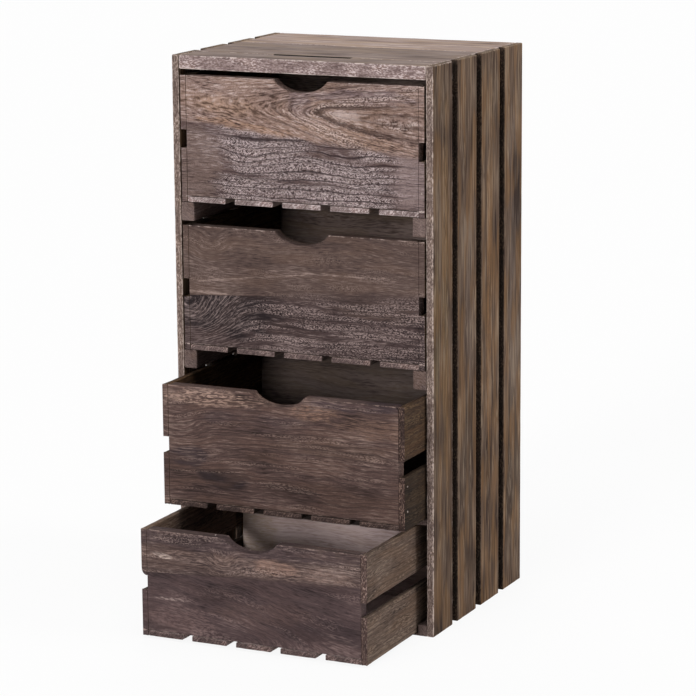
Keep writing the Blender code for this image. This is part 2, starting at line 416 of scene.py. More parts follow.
class WoodBench(Bench):
    """Lays out the wood of one board.

    Attributes:
        SEED_STEP: How far one unit of the seed moves a pattern.
        TILT: How far the fine patterns lean sideways with the depth of the board.
        RING_TILT: How far the growth rings do.
        SWING: How far full streaks or fibres move the wood between dark and pale.
        CLOUDS: How far full clouds move it.
        DARKENS: Levels of that between which the wood goes from dark to its body's colour.
        PALES: Levels between which it goes on to its pale colour.
        RAGGED: How far the ends of a range along the board wander, in millimetres.
        SOFT_END: Half the length over which such a range fades out, in millimetres.
        FRONT_SKIN: Where a front face's own colours end and where they are full, in millimetres
            behind the face.
        END_GRAIN_BELOW: The front of a board lower than this shows slanted end grain, in
            millimetres.
        ROUGHNESS: Roughness of the hollows, and how much less the ridges have.
        SPECULAR: How much the dull wood shines.
        BUMP: Strength of the brushed relief.
    """

    SEED_STEP = 7.31
    TILT = 0.3
    RING_TILT = 0.45
    SWING = 2.6
    CLOUDS = 2.4
    DARKENS = (-0.35, 0.5)
    PALES = (0.5, 1.5)
    RAGGED = 70.0
    SOFT_END = 14.0
    FRONT_SKIN = (1.3, 0.5)
    END_GRAIN_BELOW = 8.0
    ROUGHNESS = (0.94, 0.14)
    SPECULAR = 0.22
    BUMP = 0.8

    def __init__(self, name: str, low: Vector, high: Vector, run: Run, seed: float) -> None:
        """Measure the board out in millimetres from its middle.

        Args:
            name: The material's name.
            low: The board's lowest corner.
            high: The board's highest corner.
            run: The axis that the grain runs along.
            seed: Sets this board's pattern apart from the others.
        """
        super().__init__(name)
        split = self.tree.nodes.new("ShaderNodeSeparateXYZ")
        self.feed(split.inputs[0], self.node("ShaderNodeTexCoord", {}, {}, "Object"))
        middle = (low + high) / 2
        self.size = [(high[axis] - low[axis]) * MM for axis in range(3)]
        self.offset = [(Wire(self, split.outputs[axis]) - middle[axis]) * MM for axis in range(3)]
        others = (axis for axis in range(3) if axis != run.value)
        thin, wide = sorted(others, key=lambda axis: self.size[axis])
        self.length = self.size[run.value]
        self.along = self.offset[run.value]
        self.through = self.offset[thin]
        self.across = self.offset[wide]
        self.depth = self.through + self.across * self.TILT
        self.seed = seed

    def cell(
        self, along: float, across: float, field: Number | None = None, shift: float = 0.0,
        slide: Number = 0.0,
    ) -> Wire:
        """Noise cells of a given length along the grain and width across it.

        Args:
            along: Length of a cell along the grain in millimetres.
            across: Width of a cell in millimetres.
            field: What the cells are laid out on across the grain, or the plain distance.
            shift: Sets this pattern apart from the others of the board.
            slide: How far the pattern is moved along the grain.

        Returns:
            The place to read the noise at.
        """
        lateral = self.across if field is None else field
        run = self.along if isinstance(slide, float) else self.along + slide
        start = self.seed * self.SEED_STEP + shift
        parts = (run / along + start, lateral / across + start, self.depth / across - start)
        return self.point(*parts)

    def rings_field(self, grain: Grain, shift: float) -> Wire:
        """The distance that the growth rings are counted along, in millimetres.

        Args:
            grain: The wood.
            shift: Sets this strip apart from the others of the board.

        Returns:
            The field.
        """
        bend = (self.noise(self.cell(110.0, 48.0, shift=shift)) - 0.5) * (2 * grain.bend)
        ripple = (self.noise(self.cell(26.0, 11.0, shift=shift + 3.0)) - 0.5) * (2 * grain.ripple)
        lines = self.across + self.through * self.RING_TILT + bend + ripple
        for swirl in grain.swirls:
            along = (self.along - swirl.along) / swirl.length
            across = (self.across - swirl.across) / swirl.height
            hump = self.maths("EXPONENT", (along * along + across * across) * -1.0)
            lines = lines + hump * swirl.lift
        if grain.arch is None:
            return lines
        arch = grain.arch
        ahead = (self.along - arch.tip) * float(arch.heading)
        eased = self.maths("TANH", ahead / arch.reach) * arch.reach
        beyond = self.least(ahead, eased) * arch.spread
        beside = lines - arch.line - (self.along - arch.tip) * arch.slope
        return self.maths("SQRT", beside * beside + beyond * beyond) + beyond + beside * 0.1

    def wood(self, grain: Grain, shift: float) -> tuple[Wire, Wire]:
        """Colour and relief of one wood.

        Args:
            grain: The wood.
            shift: Sets this strip apart from the others of the board.

        Returns:
            The colour, and the height of the brushed surface from 0 to 1.
        """
        tone = grain.tone
        field = self.rings_field(grain, shift)
        uneven = self.noise(self.cell(300.0, grain.ring * 2.3, field, shift + 1.0)) * 1.8
        phase = self.maths("FRACT", field / grain.ring + uneven + 50.0)
        late = self.step(phase, grain.late, 0.9) * self.step(phase, 1.0, 0.94)
        streak = self.noise(self.cell(75.0, grain.streak_width, field, shift + 5.0), 2.0, 0.6)
        fibre = self.noise(self.cell(*grain.fibre_size, field, shift + 9.0))
        band = self.noise(self.cell(90.0, grain.ring * 1.7, field, shift + 13.0))
        sparse, dense = 0.62 - 0.34 * grain.hatch, 0.74 - 0.26 * grain.hatch
        spread = self.step(band, sparse, dense) * (1.0 - late * 0.8)
        lines = late * grain.rings
        if grain.pores is not None:
            coarse = self.within(grain.pores, band)
            spread = spread * coarse
            lines = lines * (coarse * 0.7 + 0.3)
        colour = self.mix(lines, self.body(grain, shift, field, streak, fibre), tone.dark)
        slide = field * grain.lean + abs(phase - 0.5) * (2 * grain.chevron * grain.ring)
        dashes = self.noise(self.cell(*grain.hatch_size, field, shift + 21.0, slide), 1.0, 0.65)
        hatch = self.step(dashes, 0.5, 0.57) * spread
        pits = self.step(dashes, 0.49, 0.38) * (spread * 0.6 + 0.4)
        colour = self.mix(pits * grain.pits, colour, tone.dark)
        colour = self.mix(hatch * (0.2 + 0.6 * grain.hatch), colour, tone.pale)
        if grain.veins:
            broken = self.step(self.noise(self.cell(6.0, 2.6, field, shift + 27.0)), 0.4, 0.54)
            vein = self.step(abs(phase - 0.32), 0.26, 0.1) * broken * self.step(band, 0.3, 0.5)
            vein = vein * self.within(grain.veined, streak)
            colour = self.mix(vein * grain.veins, colour, tone.pale)
        if grain.arch is not None and grain.arch.eye:
            colour = self.eye(grain.arch, field, colour, tone, dashes)
        relief = fibre * 0.5 + late * 0.3 - pits * 0.3 - hatch * 0.15 + streak * 0.2
        return colour, relief

    def body(self, grain: Grain, shift: float, field: Wire, streak: Wire, fibre: Wire) -> Wire:
        """Streaks, fibres, clouds and warm patches, without the growth rings and the pores.

        Args:
            grain: The wood.
            shift: Sets this strip apart from the others of the board.
            field: The distance that the growth rings are counted along.
            streak: Noise of the long streaks.
            fibre: Noise of the fibres.

        Returns:
            The colour.
        """
        tone = grain.tone
        cloud = self.noise(self.cell(80.0, 34.0, shift=shift + 17.0))
        level = (streak - 0.5) * (self.SWING * grain.streaks)
        level = level + (fibre - 0.5) * (self.SWING * grain.fibres)
        level = level + (cloud - 0.5) * (self.CLOUDS * grain.blotch) + 0.5
        plain = self.patched(grain, field, shift)
        colour = self.mix(self.step(level, *self.DARKENS), tone.dark, plain)
        warmth = self.step(self.noise(self.cell(75.0, 15.0, field, shift + 33.0)), 0.44, 0.62)
        colour = self.mix(warmth * grain.warmth, colour, tone.warm)
        return self.mix(self.step(level, *self.PALES) * 0.55, colour, tone.pale)

    def within(self, limits: tuple[float, float], noise_value: Wire) -> Wire:
        """1 inside a range along the board and 0 outside it, with ragged ends.

        Args:
            limits: Where the range starts and stops, in millimetres.
            noise_value: Noise that makes its ends ragged.

        Returns:
            The share.
        """
        ragged = self.along + (noise_value - 0.5) * self.RAGGED
        (start, stop), soft = limits, self.SOFT_END
        inside = self.step(ragged, start - soft, start + soft)
        return inside * self.step(ragged, stop + soft, stop - soft)

    def eye(self, arch: Arch, field: Wire, colour: Wire, tone: Tone, dashes: Wire) -> Wire:
        """Draw a dark ring round a pale middle at the tip of the arches.

        Args:
            arch: The arches.
            field: The distance that the growth rings are counted along.
            colour: The wood.
            tone: Its colours.
            dashes: Noise of the pores, which breaks the ring up.

        Returns:
            The colour.
        """
        ahead = (self.along - arch.tip) * float(arch.heading)
        place = field + (dashes - 0.5) * (arch.eye * 1.6)
        ring = self.step(abs(place - arch.eye), arch.eye * 0.5, arch.eye * 0.1)
        ring = ring * self.step(ahead, -105.0, -30.0)
        colour = self.mix(ring * 0.8, colour, tone.dark)
        middle = self.step(place, arch.eye * 0.5, arch.eye * 0.1) * self.step(ahead, -36.0, -20.0)
        return self.mix(middle * 0.36, colour, tone.pale)

    def patched(self, grain: Grain, field: Wire, shift: float) -> Any:
        """Lay patches of other shades over the plain body of the wood.

        Args:
            grain: The wood.
            field: The distance that the growth rings are counted along.
            shift: Sets this strip apart from the others of the board.

        Returns:
            The colour.
        """
        colour = grain.tone.body
        if not grain.patches:
            return colour
        edge = self.noise(self.cell(22.0, 9.0, shift=shift + 71.0), 2.0)
        fleck = self.step(self.noise(self.cell(6.0, 1.3, field, shift + 75.0)), 0.42, 0.58)
        for patch in grain.patches:
            along = (self.along - patch.along) / patch.length
            rise = (self.along - patch.along) * patch.slope
            across = (self.across - patch.across - rise) / patch.height
            reach = self.maths("SQRT", along * along + across * across) + (edge - 0.5) * 1.2
            share = self.step(reach, 1.15, 0.7) * patch.share
            share = share * (fleck * patch.flecks + (1 - patch.flecks))
            colour = self.mix(share, colour, seen(patch.colour))
        return colour

    def surface(self, finish: Finish) -> tuple[Wire, Wire]:
        """The board's wood, with that of its lower strip where it has one.

        Args:
            finish: The board's surface.

        Returns:
            The colour, and the height of the brushed surface from 0 to 1.
        """
        colour, relief = self.wood(finish.grain, 0.0)
        if finish.lower is None:
            return colour, relief
        colour_below, relief_below = self.wood(finish.lower, 57.0)
        rise = self.across - finish.seam - self.along * finish.seam_slope
        rough = (self.noise(self.cell(20.0, 8.0, shift=61.0), 2.0) - 0.5) * (3.0 * finish.seam_soft)
        right = self.step(self.along, -50.0, 20.0)
        soft = right * finish.seam_blend + finish.seam_soft
        below = self.step((rise + rough) / soft, 1.0, -1.0)
        colour = self.mix(below, colour, colour_below)
        relief = relief + (relief_below - relief) * below
        if finish.seam_soft < 1.0:
            line = self.step(abs(rise), 0.9, 0.2) * 0.4
            line = line if not finish.seam_blend else line * (1.0 - right)
            colour = self.mix(line, colour, finish.grain.tone.dark)
        return colour, relief

    def edge_distance(self, tight: bool) -> Wire:
        """Distance in millimetres from the nearest edge of the board's box.

        Args:
            tight: Whether the upright edges are left out, as the board meets its neighbours there.

        Returns:
            The distance.
        """
        gaps = [abs(self.size[axis] / 2 - abs(self.offset[axis])) for axis in range(3)]
        if tight:
            return self.most(gaps[2], self.least(gaps[0], gaps[1]))
        low = self.least(gaps[0], gaps[1])
        high = self.most(gaps[0], gaps[1])
        return self.most(low, self.least(high, gaps[2]))

    def front_face(self, colour: Wire, tone: Tone) -> Wire:
        """Give the face that looks to the front colours of its own, speckled and worn.

        Args:
            colour: The wood.
            tone: The colours of the face.

        Returns:
            The colour.
        """
        here = self.step(self.offset[1] + self.size[1] / 2, *self.FRONT_SKIN)
        run, side = self.offset[0], self.offset[2]
        if self.size[2] > self.size[0]:
            run, side = side, run
        if self.size[2] < self.END_GRAIN_BELOW:
            run, side = side + run * 0.4, run * 0.75 - side * 0.65
        start = self.seed * 3.7
        fibre = self.noise(self.point(run / 16.0 + start, side / 1.3, start), 2.0, 0.6)
        patch = self.noise(self.point(run / 26.0 + start, side / 12.0, start), 2.0)
        speck = self.noise(self.point(run / 2.8 - start, side / 1.15, start), 1.0, 0.6)
        level = (fibre - 0.5) * 2.8 + (patch - 0.5) * 1.2 + 0.5
        face = self.mix(self.step(level, -0.3, 0.5), tone.dark, tone.body)
        face = self.mix(self.step(patch, 0.5, 0.66) * 0.6, face, tone.warm)
        face = self.mix(self.step(level, 0.6, 1.3) * 0.5, face, tone.pale)
        face = self.mix(self.step(speck, 0.47, 0.36) * 0.55, face, tone.dark)
        flecks = self.step(speck, 0.55, 0.61) * (self.step(patch, 0.38, 0.6) * 0.6 + 0.2)
        face = self.mix(flecks, face, tone.pale)
        return self.mix(here, colour, face)

    def finish(self, finish: Finish, tight: bool = False) -> bpy.types.Material:
        """Wire the material up.

        Args:
            finish: The board's surface.
            tight: Whether the board meets its neighbours at its upright edges.

        Returns:
            The material.
        """
        colour, relief = self.surface(finish)
        pale = finish.grain.tone.pale
        if finish.ends:
            end = self.step(self.length / 2 - abs(self.along), 1.0, 0.4)
            rows = self.across / 1.1 + self.through / 2.6
            sawn = self.noise(self.point(rows, self.through / 5.0, self.seed))
            colour = self.mix(end * finish.ends * self.step(sawn, 0.42, 0.6), colour, pale)
        if finish.front is not None:
            front = self.step(self.offset[1] + self.size[1] / 2, *self.FRONT_SKIN)
            colour = self.front_face(colour, finish.front)
            pale = self.mix(front, pale, finish.front.pale)
        if finish.worn is not None:
            pale = seen(finish.worn)
        edge = self.edge_distance(tight)
        chipped = self.noise(self.cell(7.0, 5.0, shift=41.0), 3.0, 0.7)
        reach = edge / finish.wear_width + (0.52 - chipped) * 5.0
        worn = self.step(reach, 1.0, 0.2) * self.step(edge, finish.wear_width * 2.5, 0.0)
        colour = self.mix(worn * finish.wear, colour, pale)
        # Paint the back wall of the slot nearly black, faintly flecked: painted shade in the narrow
        # slot.
        if finish.slot is not None:
            start, stop = finish.slot
            inside = self.step(self.offset[0], start - 1, start + 1)
            inside = inside * self.step(self.offset[0], stop + 1, stop - 1)
            depth = self.offset[1] + self.size[1] / 2 + (chipped - 0.5) * 2.0
            shade_speck = chipped * 0.01
            painted_slot_shade = self.point(shade_speck, shade_speck * 0.6, shade_speck * 0.5)
            colour = self.mix(inside * self.step(depth, 3.4, 2.4), colour, painted_slot_shade)

        hollow, drop = self.ROUGHNESS
        bump = {"Strength": self.BUMP, "Distance": finish.relief / MM, "Height": relief}
        self.feed(self.shader.inputs["Base Color"], colour)
        self.feed(self.shader.inputs["Roughness"], hollow - relief * drop)
        self.feed(self.shader.inputs["Specular IOR Level"], self.SPECULAR)
        self.feed(self.shader.inputs["Normal"], self.node("ShaderNodeBump", {}, bump))
        return self.material


@dataclass(frozen=True)
class Corner:
    """A corner of a board that is worn round, in the plane of two axes.

    Attributes:
        axes: The two axes.
        sides: Which end of the board it is along each of them, -1 or 1.
        reach: Reach of the round along each of them in millimetres.
    """

    axes: tuple[int, int]
    sides: tuple[int, int]
    reach: tuple[float, float]

    def apply(self, place: Vector, low: Vector, high: Vector) -> Vector:
        """Pull a point in, if it lies outside the round.

        Args:
            place: The point.
            low: The board's lowest corner.
            high: The board's highest corner.

        Returns:
            The point, moved or as it was.
        """
        offsets = []
        for axis, side, reach in zip(self.axes, self.sides, self.reach):
            limit = high[axis] if side > 0 else low[axis]
            offsets.append((place[axis] - limit) * side * MM / reach + 1)
        far = math.hypot(*offsets)
        if min(offsets) <= 0 or far <= 1:
            return place
        moved = place.copy()
        for axis, side, reach, offset in zip(self.axes, self.sides, self.reach, offsets):
            moved[axis] -= side * offset * (1 - 1 / far) * reach / MM
        return moved


@dataclass
class Board:
    """One board of the chest, as the CAD model has it or cut from a plain block.

    Attributes:
        node: The CAD node that it stands for.
        body: The body that it moves with.
        run: The axis that its grain runs along.
        finish: Its surface.
        seed: Sets its pattern apart from the others.
        name: Its own name, where the node holds several boards.
        block: Its lowest and highest corners, where it is only part of the node.
        corners: Corners that are worn round.
        slot: The name of the record's material slot for the board; not used.
        front: The drawer front whose wood its front-looking face carries on.
        chips: How deep the edges are worn in millimetres.
        uneven: How far the faces sink in places, in millimetres.
        tight: How far from its upright front edges it is fitted to its neighbour, in millimetres.
        groove: The share of the rounding that is left on those edges.
        scoop_shift: How far its finger scoop sits off the middle, in millimetres.
        NEAR: Distances from its ends where the mesh is cut for the worn edges, in millimetres.
        PITCH_ALONG: Distance between the other cuts along the grain, in millimetres.
        PITCH_ACROSS: That distance across the grain.
        EDGE_ROUND: Rounding of a plain block's edges in millimetres.
        EDGE_REACH: How far the chips reach from an edge, in millimetres.
        SHARP: The angle from which an edge counts as sharp, in degrees.
        SKIN: How deep behind the front the front-looking faces lie, in millimetres.
        WELD: Distance up to which points are taken as one, in metres.
    """

    NEAR: ClassVar[tuple[float, ...]] = (2.2, 3.6, 5.6, 8.5)
    PITCH_ALONG: ClassVar[float] = 11.0
    PITCH_ACROSS: ClassVar[float] = 8.0
    EDGE_ROUND: ClassVar[float] = 0.9
    EDGE_REACH: ClassVar[float] = 2.6
    SHARP: ClassVar[float] = 42.0
    SKIN: ClassVar[float] = 2.0
    WELD: ClassVar[float] = 0.00001

    node: str
    body: str
    run: Run
    finish: Finish
    seed: float
    name: str = ""
    block: tuple[Vector, Vector] | None = None
    corners: tuple[Corner, ...] = ()
    slot: str = "front_wood"
    front: str = ""
    chips: float = 0.45
    uneven: float = 0.12
    tight: float = 0.0
    groove: float = 0.35
    scoop_shift: float = 0.0

    def cuts(self, low: float, high: float, pitch: float) -> list[float]:
        """Places to cut the mesh at along one axis, close together near the ends.

        Args:
            low: Where the board starts, in metres.
            high: Where it ends.
            pitch: The usual distance between cuts in millimetres.

        Returns:
            The places in metres.
        """
        length = (high - low) * MM
        places = [gap for gap in self.NEAR if gap < length / 2 - 1]
        places += [length - gap for gap in places]
        inner = length - 2 * self.NEAR[-1]
        count = int(inner / pitch)
        places += [self.NEAR[-1] + inner * index / count for index in range(1, count)]
        return [low + place / MM for place in places]

    def shape(self, low: Vector, high: Vector) -> bmesh.types.BMesh:
        """The board's solid, before it is worn.

        Args:
            low: Its lowest corner.
            high: Its highest corner.

        Returns:
            The solid.
        """
        solid = bmesh.new()
        if self.block is None:
            solid.from_mesh(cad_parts[self.node].data)
            bmesh.ops.remove_doubles(solid, verts=solid.verts, dist=self.WELD)
            flat = math.radians(1)
            bmesh.ops.dissolve_limit(solid, angle_limit=flat, verts=solid.verts, edges=solid.edges)
            if self.scoop_shift:
                scoop = [point for point in solid.verts if abs(point.co.x) < (high.x - low.x) / 4]
                bmesh.ops.translate(solid, vec=(self.scoop_shift / MM, 0.0, 0.0), verts=scoop)
            return solid
        bmesh.ops.create_cube(solid, size=1.0)
        bmesh.ops.scale(solid, vec=high - low, verts=solid.verts)
        bmesh.ops.translate(solid, vec=(low + high) / 2, verts=solid.verts)
        bmesh.ops.bevel(
            solid, geom=solid.edges[:], offset=self.EDGE_ROUND / MM, segments=2, affect="EDGES",
            profile=0.5, material=-1)
        return solid

    def square_up(self, point: bmesh.types.BMVert, low: Vector, high: Vector) -> bool:
        """Leave only a faint groove at an upright front edge, where the board meets its neighbour.

        Args:
            point: A point of the board.
            low: Its lowest corner.
            high: Its highest corner.

        Returns:
            Whether the point lies on such an edge.
        """
        reach = self.tight / MM
        limit = high.x if point.co.x > (low.x + high.x) / 2 else low.x
        beside, behind = abs(point.co.x - limit), point.co.y - low.y
        if max(beside, behind) >= reach:
            return False
        point.co.x = limit + (point.co.x - limit) * self.groove
        point.co.y = low.y + behind * self.groove
        return True

    def wear_down(self, solid: bmesh.types.BMesh, low: Vector, high: Vector) -> None:
        """Move each point inwards: more at the edges, a little on the faces.

        Args:
            solid: The board's solid.
            low: Its lowest corner.
            high: Its highest corner.
        """
        start = Vector((self.seed * 1.7, self.seed * 2.3, self.seed * 3.1))
        for point in solid.verts:
            if self.square_up(point, low, high):
                continue
            place = point.co
            sides = (min(place[axis] - low[axis], high[axis] - place[axis]) for axis in range(3))
            gaps = sorted(side * MM for side in sides)
            chip = noise.noise(place * 160.0 + start) + 0.5 * noise.noise(place * 420.0 + start)
            depth = self.chips * max(0.0, chip + 0.15) * max(0.0, 1 - gaps[1] / self.EDGE_REACH)
            depth += self.uneven * (0.5 + 0.5 * noise.noise(place * 22.0 - start))
            point.co -= point.normal * (depth / MM)
        for point in solid.verts:
            for corner in self.corners:
                point.co = corner.apply(point.co, low, high)

    def build(self) -> bpy.types.Object:
        """Make the board, dress it and set it in the CAD node's place.

        Returns:
            The board.
        """
        low, high = self.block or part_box(self.node)
        low, high = Vector(low), Vector(high)
        solid = self.shape(low, high)
        for axis, normal in enumerate(Matrix.Identity(3)):
            pitch = self.PITCH_ALONG if axis == self.run.value else self.PITCH_ACROSS
            for place in self.cuts(low[axis], high[axis], pitch):
                everything = [*solid.verts, *solid.edges, *solid.faces]
                bmesh.ops.bisect_plane(
                    solid, geom=everything, dist=self.WELD / 10, plane_co=normal * place,
                    plane_no=normal)
        solid.normal_update()
        self.wear_down(solid, low, high)
        title = self.name or self.node
        mesh = bpy.data.meshes.new(title + "_board")
        solid.to_mesh(mesh)
        solid.free()
        for face in mesh.polygons:
            face.use_smooth = True
        mesh.set_sharp_from_angle(angle=math.radians(self.SHARP))
        board = bpy.data.objects.new(title + "_board", mesh)
        bpy.context.scene.collection.objects.link(board)
        bench = WoodBench(title + "_wood", low, high, self.run, self.seed)
        mesh.materials.append(bench.finish(self.finish, self.tight > 0))
        if self.front:
            mesh.materials.append(bpy.data.materials[self.front + "_wood"])
            behind = low.y + self.SKIN / MM
            for face in mesh.polygons:
                face.material_index = int(face.normal.y < -0.5 and face.center.y < behind)
        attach(board, self.body)
        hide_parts(self.node)
        LOG.info("%s: %d faces", title, len(mesh.polygons))
        return board


SIDE_TONE = Tone.of((48, 34, 27), (96, 76, 62), (132, 98, 64), (156, 136, 116))
TOP_TONE = Tone.of((96, 80, 74), (146, 127, 119), (158, 134, 112), (186, 168, 160))
PINK_TONE = Tone.of((82, 66, 64), (128, 109, 106), (134, 110, 102), (196, 180, 178))
STILE_TONE = Tone.of((66, 51, 46), (106, 90, 83), (112, 92, 78), (170, 152, 144))
SLAT_TONE = Tone.of((34, 25, 18), (74, 58, 46), (98, 72, 48), (128, 108, 84))
RUNNER_TONE = Tone.of((58, 44, 42), (92, 76, 72), (100, 78, 66), (140, 122, 116))
# Painted shade: dark colours for the front edges of side slats 2 to 4, which sit back in the gaps
# between the slats, where shade falls.
GAP_SHADE_TONE = Tone.of((26, 19, 15), (44, 34, 28), (54, 39, 29), (84, 68, 56))
# Painted shadow: dark colours for the top band of the lowest drawer's rear board, under the drawer
# above.
REAR_SHADOW_TONE = Tone.of((26, 20, 18), (48, 39, 36), (56, 44, 38), (78, 66, 60))
INSIDE_TONE = Tone.of((80, 66, 62), (124, 106, 99), (124, 104, 86), (150, 134, 128))


@dataclass
class Cabinet:
    """The fixed part: side slats, top, back and runners.

    Attributes:
        side: Wood of the side slats.
        top: Wood of the top boards.
        runner: Wood of the runners.
        back: Wood of the back boards.
        side_patches: Patches of other shades on each side slat, from the front one back.
        side_shades: How light each side slat is, from the front one back.
        top_shades: How light each top board is, from the front one back.
        slot: Where the slot starts and ends along the top, in millimetres from the middle; the back
        wall inside it gets painted shade.
    """

    side: Grain = field(default_factory=lambda: Grain(
        SIDE_TONE, ring=8.0, bend=4.0, ripple=0.5, rings=0.45, late=0.65, streaks=0.95,
        streak_width=2.8, fibres=0.95, fibre_size=(42.0, 1.5), hatch=0.28, hatch_size=(20.0, 1.5),
        warmth=0.5, blotch=1.1))
    top: Grain = field(default_factory=lambda: Grain(
        TOP_TONE, ring=16.0, ripple=1.5, rings=0.3, late=0.65, streaks=0.9, streak_width=5.0,
        fibres=0.9, fibre_size=(34.0, 2.2), hatch=0.36, hatch_size=(24.0, 2.0), pits=0.4,
        warmth=0.5, blotch=0.8))
    runner: Grain = field(default_factory=lambda: Grain(
        RUNNER_TONE, ring=4.0, rings=0.3, hatch=0.2, bend=2.0, ripple=0.6))
    back: Grain = field(default_factory=lambda: Grain(
        INSIDE_TONE, ring=8.0, ripple=2.0, rings=0.3, hatch=0.2))
    side_patches: tuple[tuple[Patch, ...], ...] = (
        (Patch(60.0, 6.0, 190.0, 9.0, (122, 96, 62), 0.6, 0.5),
         Patch(20.0, -16.0, 90.0, 8.0, (124, 108, 80), 0.5, 0.4)),
        (Patch(40.0, 2.0, 120.0, 16.0, (94, 78, 70), 0.8, 0.3),
         Patch(-160.0, 0.0, 120.0, 20.0, (74, 60, 50), 0.7, 0.3)),
        (Patch(20.0, -4.0, 210.0, 7.0, (142, 104, 68), 0.7, 0.5),
         Patch(230.0, 2.0, 60.0, 20.0, (92, 76, 64), 0.7, 0.3)),
        (Patch(60.0, 4.0, 200.0, 18.0, (104, 90, 82), 0.8, 0.3),
         Patch(-180.0, 0.0, 110.0, 20.0, (80, 68, 58), 0.7, 0.3)),
    )
    side_shades: tuple[float, ...] = (0.85, 0.98, 1.0, 1.05)
    top_shades: tuple[float, ...] = (0.88, 0.9, 1.42)
    slot: tuple[float, float] = (-51.0, 41.0)

    def side_boards(self) -> list[Board]:
        """The side slats and the runners."""
        made = []
        runner = Finish(self.runner, wear=0.3, ends=0.25)
        for side, start in (("left", 1.0), ("right", 5.0)):
            looks = zip(self.side_shades, self.side_patches)
            for number, (shade, patches) in enumerate(looks, 1):
                grain = replace(self.side, tone=SIDE_TONE.scaled(shade), patches=patches)
                # Slats 2 to 4 get painted shade on their front edges, for the gaps between them.
                finish = Finish(grain, front=GAP_SHADE_TONE, wear=0.6, wear_width=1.2, ends=0.4)
                if number == 1:
                    finish = replace(finish, front=STILE_TONE, wear=0.85, worn=(186, 168, 158))
                made.append(Board(
                    f"{side}_side_slat_{number}", "cabinet", Run.UPRIGHT, finish, start + number,
                    slot="side_wood", chips=0.25, uneven=0.0))
                made.append(Board(
                    f"{side}_runner_{number}", "cabinet", Run.FRONT_TO_BACK, runner,
                    20 + start + number, slot="runner_wood"))
        return made

    def boards(self) -> list[Board]:
        """The boards with their finishes."""
        made = self.side_boards()
        parts = (("top_front_board", PINK_TONE, None), ("top_rear_board_1", None, self.slot),
                 ("top_rear_board_2", None, None))
        for number, (name, front, slot) in enumerate(parts):
            grain = replace(self.top, tone=TOP_TONE.scaled(self.top_shades[number]))
            finish = Finish(
                grain, front=front, slot=slot, wear=0.9, wear_width=1.4, worn=(206, 190, 184))
            made.append(Board(
                name, "cabinet", Run.SIDEWAYS, finish, 11.0 + number, slot="top_wood"))
        made += [
            Board(f"back_board_{number}", "cabinet", Run.SIDEWAYS, Finish(self.back), 30.0 + number,
                  slot="inside_wood")
            for number in range(1, 5)]
        return made


